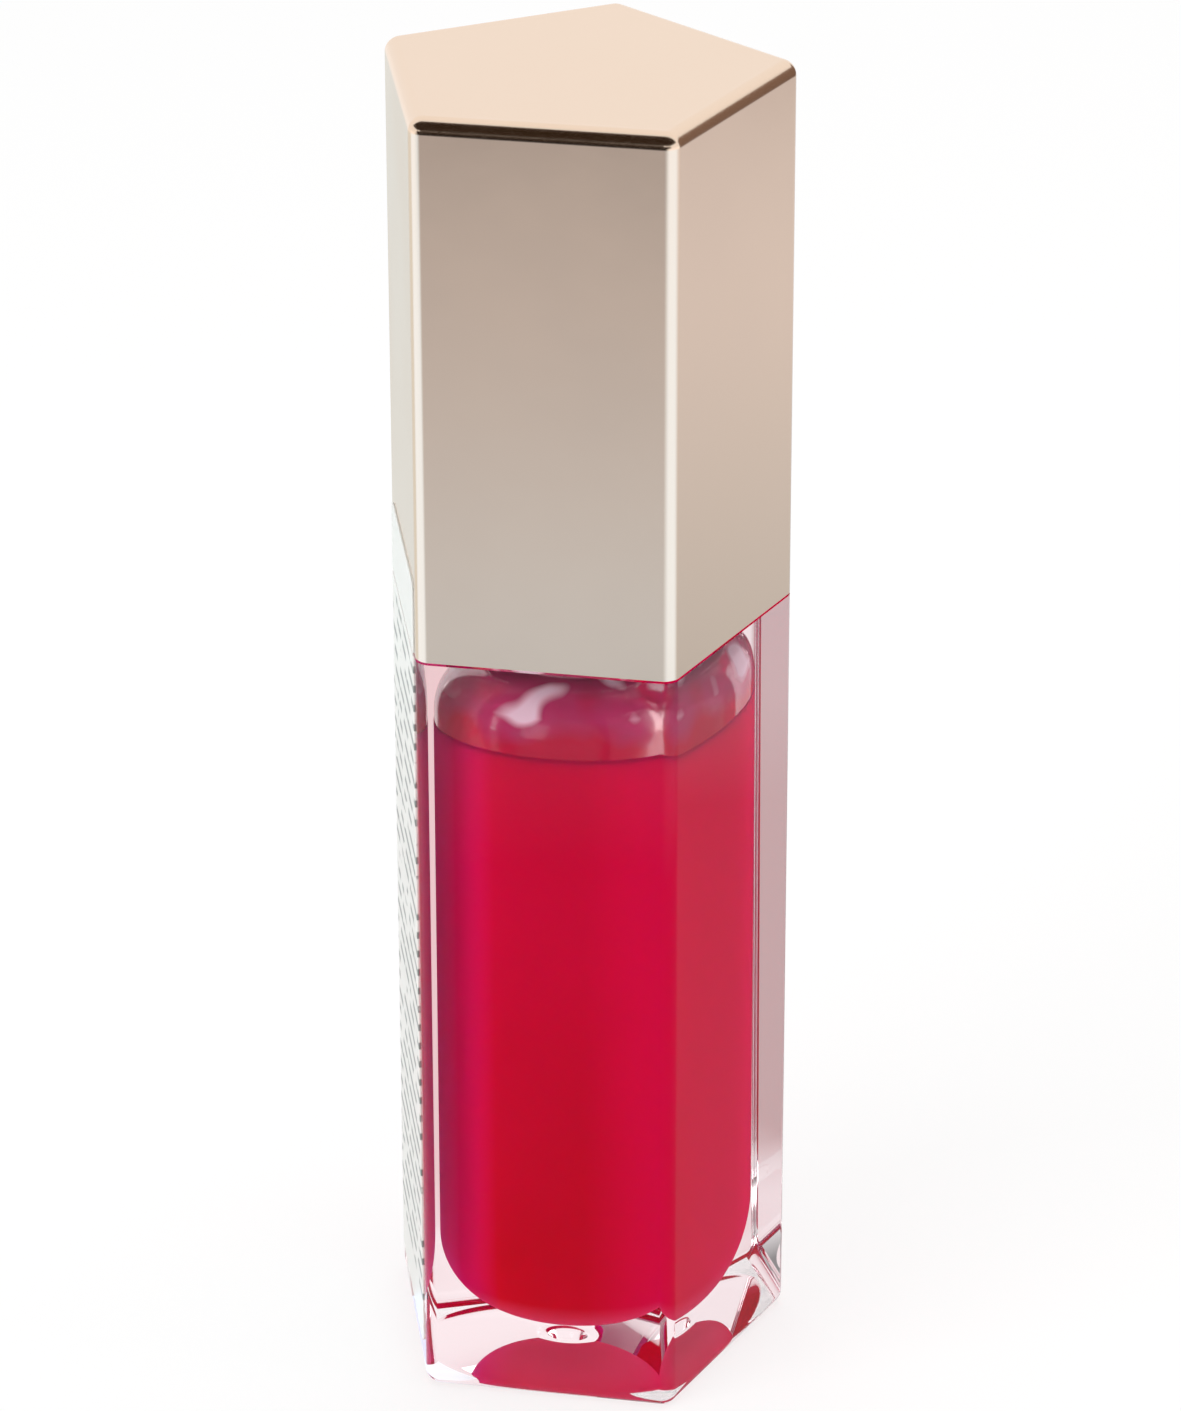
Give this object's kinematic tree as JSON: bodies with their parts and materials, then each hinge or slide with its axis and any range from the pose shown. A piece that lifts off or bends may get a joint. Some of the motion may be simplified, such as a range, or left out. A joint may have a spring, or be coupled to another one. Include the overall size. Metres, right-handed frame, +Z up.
{
  "type": "lip gloss tube",
  "caption": "Five-sided clear lip gloss tube with a tall metallised screw cap, wiper and doe-foot applicator on a stem.",
  "frame": {"origin": "on the tube's axis at the flat base, where it stands", "axes": "+Z up along the axis towards the cap's top, -Y out of the front flat face, +X to the right of it"},
  "size_m": [0.0254, 0.0242, 0.086],
  "materials": {
    "clear_body": "clear, polished, with a faint pink cast",
    "wiper_plastic": "soft translucent natural polyethylene",
    "gloss_fill": "crimson lip gloss, wet",
    "label_stock": "white coated label with fine grey rules",
    "washer_foam": "white foamed polyethylene",
    "cap_metal_coat": "vacuum-metallised champagne gold, polished",
    "liner_plastic": "natural white polypropylene",
    "stem_plastic": "natural white plastic, satin",
    "tip_core": "soft elastomer",
    "flock": "short nylon flock, stained by the gloss"
  },
  "bodies": {
    "bottle": {"bottle": "clear_body", "wiper": "wiper_plastic", "gloss": "gloss_fill", "bottle_label": "label_stock"},
    "washer": {"sealing_washer": "washer_foam"},
    "cap": {"cap_shell": "cap_metal_coat", "inner_cap": "liner_plastic", "stem": "stem_plastic", "tip_core": "tip_core", "tip_flock": "flock", "cap_label": "label_stock"}
  },
  "joints": [
    {"name": "cap_rise", "type": "slide", "parent": "bottle", "child": "washer", "axis": [0, 0, 1], "range_m": [0, 0.0571]},
    {"name": "cap_turn", "type": "hinge", "parent": "washer", "child": "cap", "pos_m": [0, 0, 0.0625], "axis": [0, 0, 1], "range_deg": [0, 3420]}
  ],
  "couplings": [
    {"joint": "cap_rise", "follows": "cap_turn", "m_per_rad": 0.00095493}
  ]
}
